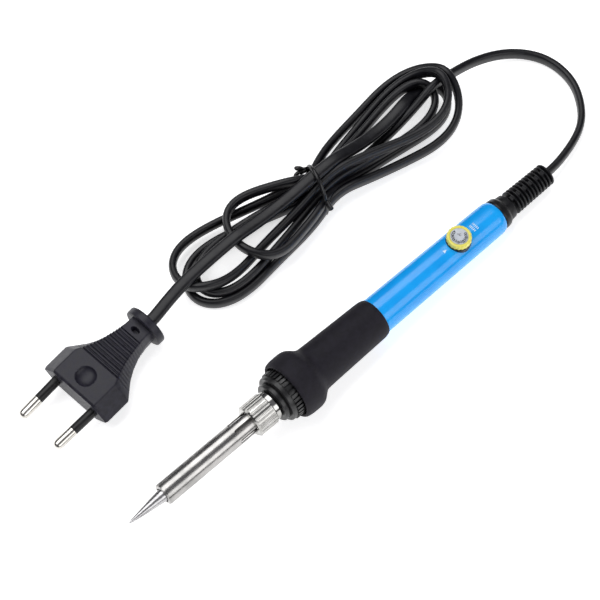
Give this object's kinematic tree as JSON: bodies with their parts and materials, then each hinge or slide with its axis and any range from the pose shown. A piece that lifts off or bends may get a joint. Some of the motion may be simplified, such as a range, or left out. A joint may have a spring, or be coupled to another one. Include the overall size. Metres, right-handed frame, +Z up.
{
  "type": "soldering iron",
  "caption": "Hand-held electric soldering iron with a ceramic heater, slip-on tip, temperature dial and a tied flat mains cord ending in a flat two-pin plug.",
  "frame": {"origin": "centre of the iron's footprint on the surface it lies on, the free cord and plug left out", "axes": "+Z up; the iron lies along X with its tip towards -X; the cord lies on the +Y side; the dial faces up"},
  "size_m": [0.2529, 0.0865, 0.0252],
  "materials": {
    "tip": "plated iron over copper, tinned at the point",
    "barrel_steel": "drawn stainless tube",
    "nut_steel": "turned, fluted and nickel plated",
    "bush_resin": "heat-resistant moulding",
    "ceramic": "fired alumina ceramic",
    "glass_sleeving": "woven glass sleeving",
    "tinned_wire": "tinned wire",
    "grip_rubber": "soft matt moulding",
    "handle_paint": "glossy moulding",
    "black_gloss": "moulded",
    "dial_yellow": "moulded",
    "dial_grey": "printed disc",
    "shaft_nylon": "moulded",
    "board": "lacquered laminate",
    "capacitor": "dipped resin",
    "resistor": "lacquered",
    "diac_glass": "lacquered glass",
    "wire_jacket": "vinyl insulation",
    "clamp": "moulded nylon",
    "boot_rubber": "flexible vinyl",
    "cord_jacket": "flexible vinyl jacket",
    "tie_plastic": "plastic covered wire",
    "plug_vinyl": "moulded vinyl",
    "pin_plate": "nickel plated brass",
    "pin_insulation": "moulded"
  },
  "bodies": {
    "handle": {"front_bush": "bush_resin", "vent_ring": "bush_resin", "heater_rod": "ceramic", "heater_flange": "ceramic", "heater_leads": "tinned_wire", "lead_sleeves": "glass_sleeving", "grip_sleeve": "grip_rubber", "handle_shell": "handle_paint", "dial_bezel": "black_gloss", "pot_body": "black_gloss", "circuit_board": "board", "triac": "black_gloss", "film_capacitor": "capacitor", "resistors": "resistor", "diac": "diac_glass", "mains_wires": "wire_jacket", "cord_clamp": "clamp", "rear_cap": "black_gloss", "strain_relief": "boot_rubber", "cord_core": "cord_jacket", "cord_lead": "cord_jacket", "cord_hank": "cord_jacket", "cord_tail": "cord_jacket", "cord_tie": "tie_plastic", "plug_body": "plug_vinyl", "plug_pins": "pin_plate", "pin_sleeves": "pin_insulation"},
    "tip": {"soldering_tip": "tip"},
    "sleeve": {"tip_sleeve": "barrel_steel"},
    "nut": {"barrel_nut": "nut_steel"},
    "dial": {"dial_knob": "dial_yellow", "dial_face": "dial_grey", "pot_shaft": "shaft_nylon"}
  },
  "joints": [
    {"name": "tip_off", "type": "slide", "parent": "handle", "child": "tip", "axis": [-0.9985, 0, 0.0556], "range_m": [0, 0.045]},
    {"name": "nut_release", "type": "slide", "parent": "tip", "child": "sleeve", "axis": [-0.9985, 0, 0.0556], "range_m": [0, 0.0061]},
    {"name": "nut_turn", "type": "hinge", "parent": "sleeve", "child": "nut", "pos_m": [-0.04376, 0, 0.01359], "axis": [-0.9985, 0, 0.0556], "range_deg": [0, 2160]},
    {"name": "dial_turn", "type": "hinge", "parent": "handle", "child": "dial", "pos_m": [0.05799, 0, 0.01538], "axis": [0.0556, 0, 0.9985], "range_deg": [-150, 120]}
  ],
  "couplings": [
    {"joint": "nut_release", "follows": "nut_turn", "m_per_rad": 0.00015915}
  ]
}
